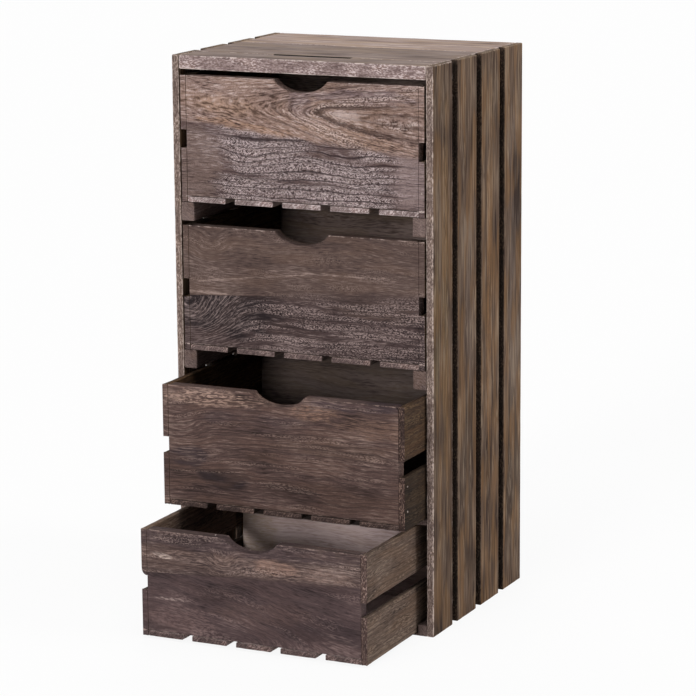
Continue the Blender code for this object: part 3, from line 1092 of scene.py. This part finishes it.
@dataclass
class CrateDrawer:
    """One drawer.

    Attributes:
        number: Its number, counted from the top.
        front: The surface of its front.
        floor_ends: Colours of the front ends of its floor slats.
        inside: Colours of its rear board and floor; made paler or darker in some drawers as painted
        light and shade inside them.
        right_ends: Colours of the right side slats' front ends, where they differ from the front.
        slats: Colours of its side slats.
        left_patches: Patches of other shades on its left side slats.
        rear_patches: Patches of other shades on its rear board.
        rear_shadow_band: Colours of a dark band painted along the top of its rear board, for the
            shadow that the drawer above casts there, if it has one.
        rear_shadow_edge: Height of the lower edge of that painted shadow above the board's middle,
            in millimetres.
        corners: The boards that have a corner worn round, each with that corner.
        slat_shades: How light its side slats are: left upper, left lower, right upper, right lower.
        scoop_shift: How far its finger scoop sits off the middle, in millimetres.
        floor_slats: How many floor slats it has.
        floor_gap: Gap between them in metres.
        floor_thickness: Their thickness in metres.
        rear_thickness: Thickness of the rear board in metres.
        rear_play: Gap between the rear board and the floor slats below it in metres.
    """

    number: int
    front: Finish
    floor_ends: Tone
    inside: Tone = INSIDE_TONE
    right_ends: Tone | None = None
    slats: Tone = SLAT_TONE
    left_patches: tuple[Patch, ...] = ()
    rear_patches: tuple[Patch, ...] = ()
    rear_shadow_band: Tone | None = None
    rear_shadow_edge: float = 20.0
    corners: tuple[tuple[str, Corner], ...] = ()
    slat_shades: tuple[float, ...] = (1.0, 1.0, 1.0, 1.0)
    scoop_shift: float = 0.0
    floor_slats: int = 5
    floor_gap: float = 0.011
    floor_thickness: float = 0.006
    rear_thickness: float = 0.014
    rear_play: float = 0.0001

    def worn_corners(self, name: str) -> tuple[Corner, ...]:
        """The corners that are worn round on one of its boards."""
        return tuple(corner for board, corner in self.corners if board == name)

    def rear_and_floor(self, inside: Grain, start: float) -> list[Board]:
        """The rear board and the floor slats, each on its own.

        Args:
            inside: Their wood.
            start: Sets their patterns apart from the others.

        Returns:
            The boards.
        """
        title = f"drawer_{self.number}"
        node = title + "_rear_and_floor"
        low, high = (Vector(corner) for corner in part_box(node))
        width = (high.x - low.x - (self.floor_slats - 1) * self.floor_gap) / self.floor_slats
        top = low.z + self.floor_thickness
        block = (Vector((low.x, high.y - self.rear_thickness, top + self.rear_play)), high)
        rear = Finish(replace(inside, patches=self.rear_patches))
        if self.rear_shadow_band is not None:
            # The rear board may get a dark band along its top, laid on as an upper strip: painted
            # shadow of the drawer above.
            strip = replace(inside, tone=self.rear_shadow_band)
            rear = Finish(strip, rear.grain, seam=self.rear_shadow_edge, seam_soft=0.6, wear=0.2)
        name = title + "_rear"
        made = [Board(node, title, Run.SIDEWAYS, rear, start, name, block, slot="inside_wood")]
        slat = Finish(inside, front=self.floor_ends, wear=0.4)
        for index in range(self.floor_slats):
            left = low.x + index * (width + self.floor_gap)
            block = (Vector((left, low.y, low.z)), Vector((left + width, high.y, top)))
            name = f"{title}_floor_slat_{index + 1}"
            seed = start + 1 + index
            made.append(Board(
                node, title, Run.FRONT_TO_BACK, slat, seed, name, block, slot="inside_wood"))
        return made

    def boards(self) -> list[Board]:
        """The boards with their finishes."""
        title = f"drawer_{self.number}"
        start = 50.0 + 20 * self.number
        name = title + "_front"
        made = [Board(
            name, title, Run.SIDEWAYS, self.front, start, corners=self.worn_corners(name),
            tight=1.7, scoop_shift=self.scoop_shift)]
        slat = Grain(
            self.slats, ring=5.0, bend=6.0, ripple=1.0, rings=0.4, hatch=0.35,
            hatch_size=(6.0, 1.6))
        for index, side in enumerate(("left_upper", "left_lower", "right_upper", "right_lower")):
            name = f"{title}_{side}_slat"
            own = self.right_ends if side.startswith("right") else None
            patches = self.left_patches if side.startswith("left") else ()
            wood = replace(slat, tone=self.slats.scaled(self.slat_shades[index]), patches=patches)
            finish = Finish(wood, front=own, wear=0.5, wear_width=0.9, ends=0.15)
            made.append(Board(
                name, title, Run.FRONT_TO_BACK, finish, start + 1 + index,
                corners=self.worn_corners(name), slot="drawer_side_wood",
                front="" if own else title + "_front", tight=1.1))
        inside = Grain(
            self.inside, ring=8.0, ripple=2.0, rings=0.3, hatch=0.2, hatch_size=(8.0, 2.0),
            pits=0.3)
        return made + self.rear_and_floor(inside, start + 6)


def first_drawer() -> CrateDrawer:
    """The top drawer: nested arches with a dark eye, over rippled bands of pale pores."""
    tone = Tone.of((56, 40, 35), (132, 109, 101), (150, 119, 98), (205, 186, 180))
    patches = (
        Patch(-88.0, 33.0, 36.0, 13.0, (160, 131, 114), 0.7, 0.4, -0.1),
        Patch(-60.0, 12.0, 60.0, 6.0, (158, 124, 102), 0.7, 0.4, -0.13),
        Patch(70.0, 6.0, 70.0, 8.0, (150, 121, 104), 0.7, 0.4, -0.15),
        Patch(75.0, 50.0, 60.0, 9.0, (110, 94, 97), 0.8, 0.3),
        Patch(0.0, 40.0, 16.0, 14.0, (112, 96, 98), 0.7, 0.3),
        Patch(100.0, 24.0, 50.0, 16.0, (112, 90, 80), 0.6, 0.6, -0.08),
    )
    upper = Grain(
        tone, Arch(39.0, 29.0, -0.06, 0.2, -1, 85.0, 7.0), bend=3.0, rings=0.55, late=0.6,
        streaks=0.35, streak_width=1.6, fibres=1.3, hatch=0.38, hatch_size=(2.0, 0.9), pits=0.9,
        pores=(-50.0, 200.0), warmth=0.2, blotch=0.6, patches=patches)
    tone = Tone.of((40, 27, 28), (86, 69, 67), (104, 82, 73), (196, 179, 178))
    patches = (
        Patch(-122.0, -30.0, 30.0, 40.0, (112, 94, 88), 0.9, 0.1),
        Patch(128.0, -30.0, 24.0, 40.0, (130, 112, 110), 0.9, 0.1),
        Patch(-62.0, -2.0, 26.0, 7.0, (66, 54, 58), 0.8, 0.2),
    )
    swirls = (
        Swirl(-64.0, -24.0, 26.0, 22.0, 6.0), Swirl(6.0, -18.0, 24.0, 18.0, -5.0),
        Swirl(66.0, -26.0, 26.0, 20.0, 4.0))
    lower = Grain(
        tone, swirls=swirls, ring=7.0, bend=5.0, ripple=2.0, rings=0.95, late=0.72, streaks=0.4,
        fibres=0.8, hatch=0.95, hatch_size=(0.85, 1.5), lean=0.5, chevron=0.9, pits=1.0,
        pores=(-92.0, 108.0), warmth=0.15, blotch=0.5, patches=patches)
    finish = Finish(
        upper, lower, seam=3.0, seam_slope=-0.1, seam_soft=3.0, wear=0.7, worn=(196, 178, 172),
        ends=0.0)
    floor_ends = Tone.of((80, 65, 63), (124, 108, 106), (128, 98, 92), (198, 184, 182))
    return CrateDrawer(1, finish, floor_ends)


def second_drawer() -> CrateDrawer:
    """The second drawer: smooth above the glue line, rings round a knot at the lower left."""
    pale = (150, 130, 122)
    tone = Tone.of((46, 34, 32), (80, 64, 59), (92, 72, 62), (146, 126, 118))
    patches = (
        Patch(-59.0, 13.0, 84.0, 1.2, pale, 0.7, 0.7, 0.125),
        Patch(45.0, 22.5, 60.0, 1.0, pale, 0.6, 0.8),
        Patch(-112.0, -7.0, 28.0, 1.8, pale, 0.9, 0.8),
        Patch(-20.0, 44.0, 110.0, 8.0, (92, 74, 66), 0.6, 0.6),
    )
    upper = Grain(
        tone, swirls=(Swirl(-108.0, 46.0, 22.0, 18.0, 14.0),), ring=12.0, rings=0.15, streaks=0.5,
        streak_width=2.0, fibres=0.9, hatch=0.34, hatch_size=(1.8, 0.8), warmth=0.35, blotch=0.7,
        patches=patches)
    tone = Tone.of((30, 21, 22), (64, 50, 49), (80, 62, 56), (160, 140, 136))
    patches = (
        Patch(-92.0, -22.0, 70.0, 34.0, (30, 22, 24), 0.97, 0.0),
        Patch(90.0, -14.0, 60.0, 12.0, (84, 68, 62), 0.7, 0.5),
    )
    lower = Grain(
        tone, swirls=(Swirl(-136.0, -26.0, 46.0, 38.0, 62.0),), ring=4.4, rings=0.4, late=0.65,
        veins=0.28, veined=(-200.0, -66.0), streaks=0.35, fibres=0.9, hatch=0.72,
        hatch_size=(2.0, 0.75), lean=0.5, pits=0.9, pores=(-66.0, 200.0), warmth=0.15, blotch=0.8,
        patches=patches)
    finish = Finish(
        upper, lower, seam=-3.5, seam_slope=0.055, seam_blend=12.0, wear=0.8, worn=(176, 156, 148),
        ends=0.0)
    floor_ends = Tone.of((56, 44, 43), (92, 76, 74), (102, 80, 74), (156, 136, 130))
    # Its rear board and floor are darkened to 0.8 of the usual colours: painted shade inside the
    # shut drawer.
    return CrateDrawer(2, finish, floor_ends, inside=INSIDE_TONE.scaled(0.8))


def third_drawer() -> CrateDrawer:
    """The third drawer: fine, nearly straight grain with reddish flecks along the top."""
    tone = Tone.of((38, 27, 25), (78, 60, 56), (104, 79, 68), (154, 131, 121))
    patches = (
        Patch(-78.0, 53.0, 64.0, 9.0, (164, 136, 122), 0.9, 0.95),
        Patch(40.0, 48.0, 32.0, 9.0, (132, 103, 88), 0.75, 0.85),
        Patch(108.0, 36.0, 44.0, 12.0, (124, 97, 83), 0.55, 0.6, -0.05),
        Patch(-40.0, 34.0, 60.0, 12.0, (66, 53, 55), 0.6, 0.3),
        Patch(86.0, 60.0, 56.0, 7.5, (66, 53, 56), 0.95, 0.1),
        Patch(-68.0, -34.0, 34.0, 13.0, (38, 29, 32), 0.95, 0.1),
        Patch(-112.0, -12.0, 26.0, 12.0, (54, 43, 46), 0.85, 0.1),
        Patch(60.0, 10.0, 70.0, 10.0, (90, 71, 62), 0.6, 0.4),
        Patch(60.0, -40.0, 90.0, 14.0, (58, 43, 39), 0.6, 0.4),
    )
    grain = Grain(
        tone, swirls=(Swirl(-128.0, 12.0, 44.0, 34.0, 16.0),), ring=5.0, bend=7.0, ripple=1.5,
        rings=0.45, streaks=0.35, streak_width=1.3, fibres=0.9, fibre_size=(13.0, 1.1), hatch=0.16,
        hatch_size=(2.6, 0.85), pits=0.6, warmth=0.25, blotch=0.9, patches=patches)
    floor_ends = Tone.of((32, 24, 22), (60, 46, 43), (70, 51, 45), (120, 99, 90))
    right_ends = Tone.of((26, 17, 15), (48, 34, 30), (58, 40, 34), (126, 102, 92))
    slats = Tone.of((36, 25, 17), (78, 57, 42), (106, 75, 48), (132, 107, 80))
    corners = (("drawer_3_front", Corner((0, 2), (1, 1), (7.0, 5.0))),)
    # Its rear board and floor are darkened to 0.38 of the usual colours: painted shade inside the
    # drawer.
    return CrateDrawer(
        3, Finish(grain, wear=0.75, worn=(146, 124, 115), ends=0.0), floor_ends,
        inside=INSIDE_TONE.scaled(0.38), right_ends=right_ends, slats=slats,
        slat_shades=(0.9, 0.9, 0.7, 0.32), corners=corners, scoop_shift=-4.5)


def fourth_drawer() -> CrateDrawer:
    """The lowest drawer: a flecked strip above, a smoother one below."""
    tone = Tone.of((40, 29, 29), (76, 61, 58), (98, 76, 66), (158, 137, 129))
    patches = (
        Patch(-20.0, 47.0, 160.0, 10.0, (72, 58, 59), 0.85, 0.2),
        Patch(0.0, 27.0, 140.0, 9.0, (128, 107, 99), 0.6, 0.95, -0.03),
        Patch(-106.0, 29.0, 11.0, 3.0, (196, 176, 166), 0.9, 0.7, -0.15),
        Patch(26.0, 31.0, 27.0, 9.0, (138, 110, 98), 0.85, 0.3),
        Patch(84.0, 29.0, 30.0, 9.0, (118, 96, 88), 0.7, 0.7),
    )
    upper = Grain(
        tone, swirls=(Swirl(-34.0, 28.0, 16.0, 14.0, 9.0),), bend=5.0, ripple=1.5, rings=0.4,
        streaks=0.4, streak_width=1.6, fibres=0.9, hatch=0.28, hatch_size=(2.4, 0.95), lean=0.4,
        pits=0.6, warmth=0.2, blotch=0.7, patches=patches)
    tone = Tone.of((38, 28, 29), (72, 57, 57), (84, 64, 61), (132, 111, 107))
    patches = (
        Patch(-97.0, -18.0, 20.0, 1.6, (160, 140, 134), 0.7, 0.9),
        Patch(-85.0, -38.0, 44.0, 14.0, (108, 87, 84), 0.6, 0.9),
        Patch(85.0, -32.0, 46.0, 16.0, (46, 35, 37), 0.75, 0.2),
        Patch(10.0, -22.0, 60.0, 14.0, (84, 65, 60), 0.5, 0.6, 0.1),
    )
    lower = Grain(
        tone, Arch(-10.0, -60.0, 0.0, 0.3, 1), ring=9.0, rings=0.25, streaks=0.4, streak_width=2.0,
        fibres=0.7, hatch=0.2, hatch_size=(3.0, 1.0), pits=0.35, warmth=0.2, blotch=0.8,
        patches=patches)
    finish = Finish(
        upper, lower, seam=15.0, seam_slope=0.05, seam_blend=4.0, wear=0.75, worn=(156, 135, 128),
        ends=0.0)
    floor_ends = Tone.of((42, 32, 31), (74, 60, 58), (86, 66, 61), (138, 117, 113))
    right_ends = Tone.of((42, 31, 29), (74, 57, 52), (86, 64, 57), (150, 127, 119))
    corners = (("drawer_4_left_upper_slat", Corner((0, 2), (-1, -1), (6.2, 9.0))),)
    # Painted light: its rear board and floor are given pale colours to stand in for the light that
    # hardly reaches them under the drawer above.
    inside = Tone.of((154, 134, 131), (186, 166, 163), (176, 154, 144), (204, 187, 184))
    rear_patches = (Patch(-108.0, 0.0, 26.0, 60.0, (158, 138, 112), 0.8, 0.5),)
    left_patches = (Patch(97.0, 0.0, 9.0, 80.0, (20, 14, 12), 0.85, 0.1),)
    # The left slats' shades, 1.1 and 0.6, stand in for the light and shade on the drawer's inner
    # left wall: painted light and shade.
    slats = Tone.of((50, 39, 34), (96, 79, 69), (112, 88, 70), (146, 127, 112))
    # Its rear board carries a painted shadow band along the top, for the shade under the drawer
    # above.
    return CrateDrawer(
        4, finish, floor_ends, inside=inside, right_ends=right_ends, slats=slats,
        left_patches=left_patches, rear_patches=rear_patches, rear_shadow_band=REAR_SHADOW_TONE,
        slat_shades=(1.1, 0.6, 1.0, 1.0), corners=corners, scoop_shift=-2.5)


@dataclass(frozen=True)
class Nail:
    """A nail head that lies almost flush in the wood.

    Attributes:
        name: Its name.
        body: The body that it moves with.
        place: The middle of its head in metres.
        axis: The axis that it was driven along.
        side: Which way the head looks along that axis, -1 or 1.
        radius: Radius of the head in metres.
        height: Height of the head in metres.
    """

    name: str
    body: str
    place: tuple[float, float, float]
    axis: int
    side: int
    radius: float = 0.0011
    height: float = 0.0006

    def build(self, steel: bpy.types.Material) -> bpy.types.Object:
        """Make the nail head.

        Args:
            steel: Its material.

        Returns:
            The nail head.
        """
        head = bmesh.new()
        bmesh.ops.create_cone(
            head, cap_ends=True, segments=16, radius1=self.radius, radius2=self.radius * 0.8,
            depth=self.height)
        outward = Vector((0.0, 0.0, 0.0))
        outward[self.axis] = float(self.side)
        turn = outward.to_track_quat("Z", "Y").to_matrix().to_4x4()
        place = Matrix.Translation(Vector(self.place)) @ turn
        bmesh.ops.transform(head, matrix=place, verts=head.verts)
        bmesh.ops.recalc_face_normals(head, faces=head.faces)
        mesh = bpy.data.meshes.new(self.name)
        head.to_mesh(mesh)
        head.free()
        mesh.materials.append(steel)
        nail = bpy.data.objects.new(self.name, mesh)
        bpy.context.scene.collection.objects.link(nail)
        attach(nail, self.body)
        LOG.info("%s", self.name)
        return nail


@dataclass
class NailHeads:
    """The nail heads that show."""

    nails: tuple[Nail, ...] = (
        Nail("nail_first_drawer_1", "drawer_1", (0.1391, -0.0600, 0.4775), 1, -1),
        Nail("nail_first_drawer_2", "drawer_1", (0.1391, -0.0600, 0.459), 1, -1),
        Nail("nail_third_drawer_1", "drawer_3", (0.1426, -0.1055, 0.1762), 0, 1),
        Nail("nail_third_drawer_2", "drawer_3", (0.1426, -0.1055, 0.1492), 0, 1),
        Nail("nail_fourth_drawer", "drawer_4", (-0.0465, -0.1765, 0.1212), 2, 1),
    )

    def steel(self) -> bpy.types.Material:
        """Dulled steel, spotted with rust."""
        bench = Bench("nail_steel")
        place = bench.node("ShaderNodeTexCoord", {}, {}, "Object")
        grit = {"Vector": place, "Scale": 900.0, "Detail": 2.0}
        spots = bench.node("ShaderNodeTexNoise", {}, grit)
        colour = bench.mix(bench.step(spots, 0.45, 0.6), seen((172, 160, 153)), seen((112, 92, 83)))
        bench.feed(bench.shader.inputs["Base Color"], colour)
        bench.feed(bench.shader.inputs["Roughness"], spots * 0.3 + 0.4)
        bench.feed(bench.shader.inputs["Metallic"], 0.3)
        return bench.material

    def build(self) -> None:
        """Make them all."""
        steel = self.steel()
        for nail in self.nails:
            nail.build(steel)


@dataclass(frozen=True)
class Sun:
    """One broad soft light.

    Attributes:
        name: Its name.
        azimuth: Where it comes from, in degrees to the right of straight in front.
        elevation: Its height above the horizon in degrees.
        strength: Its strength in watts per square metre.
        spread: The angle that it fills, in degrees.
    """

    name: str
    azimuth: float
    elevation: float
    strength: float
    spread: float


def towards(azimuth: float, elevation: float) -> Vector:
    """The direction from the chest to a place round it.

    Args:
        azimuth: Its angle to the right of straight in front, in degrees.
        elevation: Its angle above the horizon, in degrees.

    Returns:
        The direction, of length 1.
    """
    turn, rise = math.radians(azimuth), math.radians(elevation)
    level = math.cos(rise)
    return Vector((math.sin(turn) * level, -math.cos(turn) * level, math.sin(rise)))


@dataclass
class Studio:
    """A pale floor, soft light and the camera.

    Attributes:
        target: The point that the camera looks at.
        azimuth: Its angle to the right of straight in front, in degrees.
        elevation: Its angle above the horizon, in degrees.
        distance: Its distance from the target in metres.
        roll: Its turn about its own axis, in degrees.
        lens: Its focal length in millimetres.
        sensor: The width of its sensor in millimetres.
        floor_size: Width of the floor in metres.
        floor_shade: How light the floor is.
        floor_glow: Share of plain white in the floor as the camera sees it; the rest takes shadow.
        room: Strength of the light from all round.
        suns: The lights.
    """

    target: Vector = field(default_factory=lambda: Vector((-0.004566, 0.0625, 0.278664)))
    azimuth: float = 25.405
    elevation: float = 11.973
    distance: float = 3.24993
    roll: float = -0.447
    lens: float = 152.1334
    sensor: float = 36.0
    floor_size: float = 60.0
    floor_shade: float = 0.94
    floor_glow: float = 0.9
    room: float = 0.12
    suns: tuple[Sun, ...] = (
        Sun("key", -6.0, 12.0, 2.3, 17.0),
        Sun("side", 95.0, 18.0, 1.35, 20.0),
        Sun("overhead", 10.0, 75.0, 1.25, 50.0),
        Sun("rear", 205.0, 20.0, 1.1, 60.0),
    )

    def add_camera(self) -> None:
        """Set the camera up."""
        back = towards(self.azimuth, self.elevation)
        roll = Matrix.Rotation(math.radians(self.roll), 3, "Z")
        turn = back.to_track_quat("Z", "Y").to_matrix() @ roll
        data = bpy.data.cameras.new("camera")
        data.lens = self.lens
        data.sensor_width = self.sensor
        camera = bpy.data.objects.new("camera", data)
        place = Matrix.Translation(self.target + back * self.distance)
        camera.matrix_world = place @ turn.to_4x4()
        bpy.context.scene.collection.objects.link(camera)
        bpy.context.scene.camera = camera

    def add_sun(self, sun: Sun) -> None:
        """Add one of the lights.

        Args:
            sun: The light.
        """
        data = bpy.data.lights.new(sun.name, "SUN")
        data.energy = sun.strength
        data.angle = math.radians(sun.spread)
        light = bpy.data.objects.new(sun.name, data)
        source = towards(sun.azimuth, sun.elevation)
        light.rotation_euler = source.to_track_quat("Z", "Y").to_euler()
        bpy.context.scene.collection.objects.link(light)

    def add_floor(self) -> None:
        """Lay the pale floor, white to the camera but for a faint shadow."""
        bpy.ops.mesh.primitive_plane_add(size=self.floor_size)
        floor = bpy.context.object
        floor.name = "studio_floor"
        bench = Bench("studio_floor")
        bench.feed(bench.shader.inputs["Base Color"], opaque([self.floor_shade] * 3))
        bench.feed(bench.shader.inputs["Roughness"], 1.0)
        bench.feed(bench.shader.inputs["Specular IOR Level"], 0.0)
        white = bench.node("ShaderNodeEmission", {}, {"Color": (1.0, 1.0, 1.0, 1.0)})
        share = bench.node("ShaderNodeLightPath", {}, {}, "Is Camera Ray") * self.floor_glow
        plain = Wire(bench, bench.shader.outputs[0])
        both = bench.node("ShaderNodeMixShader", {}, {0: share, 1: plain, 2: white})
        bench.feed(bench.tree.nodes["Material Output"].inputs["Surface"], both)
        floor.data.materials.append(bench.material)

    def add_world(self) -> None:
        """Light the room softly from all round."""
        world = bpy.data.worlds.new("studio")
        world.use_nodes = True
        nodes, links = world.node_tree.nodes, world.node_tree.links
        background = nodes["Background"].inputs
        background["Color"].default_value = (1.0, 1.0, 1.0, 1.0)
        path = nodes.new("ShaderNodeLightPath")
        strength = nodes.new("ShaderNodeMapRange")
        strength.inputs["To Min"].default_value = self.room
        links.new(path.outputs["Is Camera Ray"], strength.inputs["Value"])
        links.new(strength.outputs[0], background["Strength"])
        bpy.context.scene.world = world

    def build(self) -> None:
        """Set up the whole studio."""
        self.add_camera()
        self.add_floor()
        self.add_world()
        for sun in self.suns:
            self.add_sun(sun)
        bpy.context.scene.view_settings.view_transform = "Standard"


def main() -> None:
    """Build and dress the chest and set up the studio."""
    logging.basicConfig(level=logging.INFO, format="%(name)s: %(message)s")
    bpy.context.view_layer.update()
    sections = [Cabinet(), first_drawer(), second_drawer(), third_drawer(), fourth_drawer()]
    for section in sections:
        for board in section.boards():
            board.build()
    NailHeads().build()
    Studio().build()


if __name__ == "__main__":
    main()
